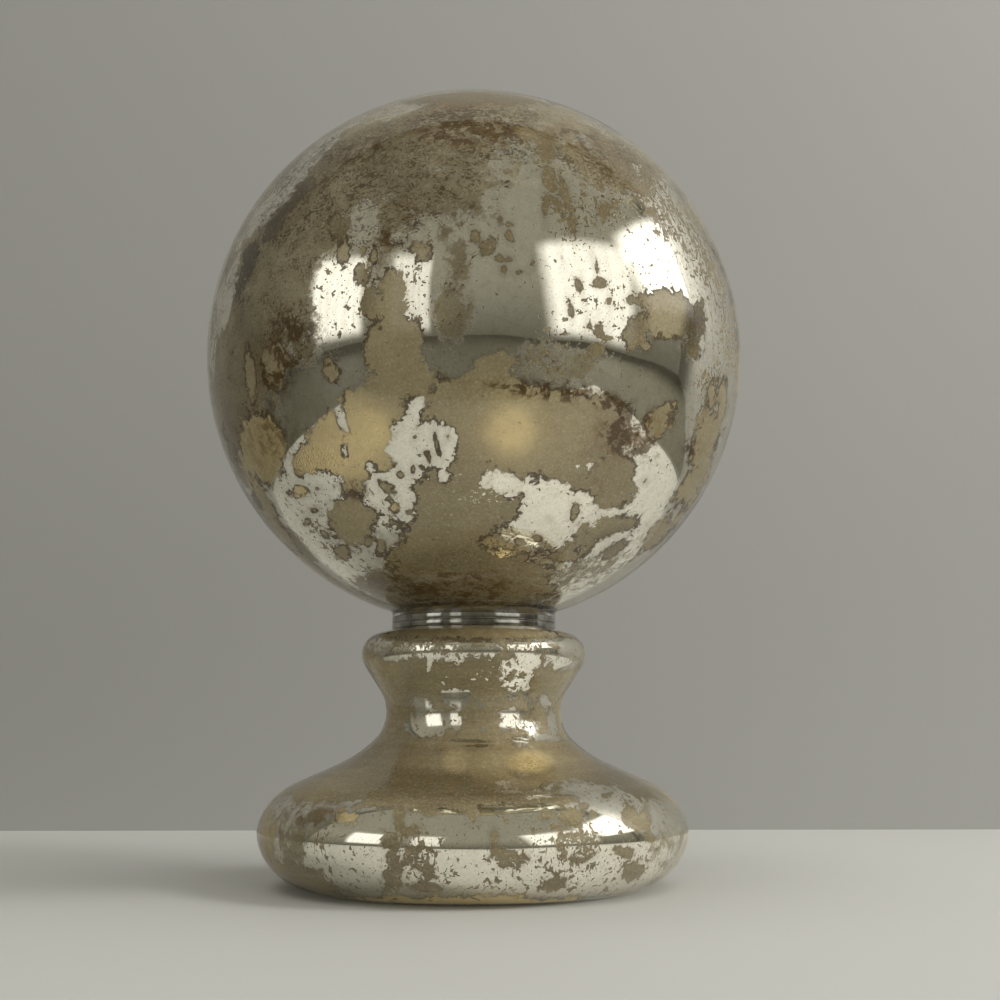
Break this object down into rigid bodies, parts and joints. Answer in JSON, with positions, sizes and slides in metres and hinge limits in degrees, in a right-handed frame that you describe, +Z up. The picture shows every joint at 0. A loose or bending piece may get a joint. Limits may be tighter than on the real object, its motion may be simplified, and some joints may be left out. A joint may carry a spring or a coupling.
{
  "type": "decorative glass sphere",
  "caption": "Silvered glass ball standing on a waisted glass pedestal, joined at a polished metal collar; a free-standing ornament.",
  "frame": {"origin": "centre of the ring that the foot rests on, on the supporting surface", "axes": "+Z up along the axis of the ball and the pedestal; +X to the viewer's right and +Y away from the viewer, both arbitrary on a round object"},
  "size_m": [0.2032, 0.2032, 0.2979],
  "materials": {
    "clear_glass": "polished clear blown glass",
    "silvering": "aged silver film with specks, holes and brown-edged worn patches",
    "backing_coat": "tan metallic lacquer seen where the silver is worn through",
    "collar_metal": "polished",
    "sleeve_steel": "drawn tube",
    "cement": "set amber-brown resin cement"
  },
  "bodies": {
    "root": {"ball_glass": "clear_glass", "ball_silvering": "silvering", "ball_backing_coat": "backing_coat", "ball_neck_cement": "cement", "upper_collar_ring": "collar_metal", "lower_collar_ring": "collar_metal", "joining_sleeve": "sleeve_steel", "pedestal_neck_cement": "cement", "pedestal_glass": "clear_glass", "pedestal_silvering": "silvering", "pedestal_backing_coat": "backing_coat"}
  },
  "joints": []
}
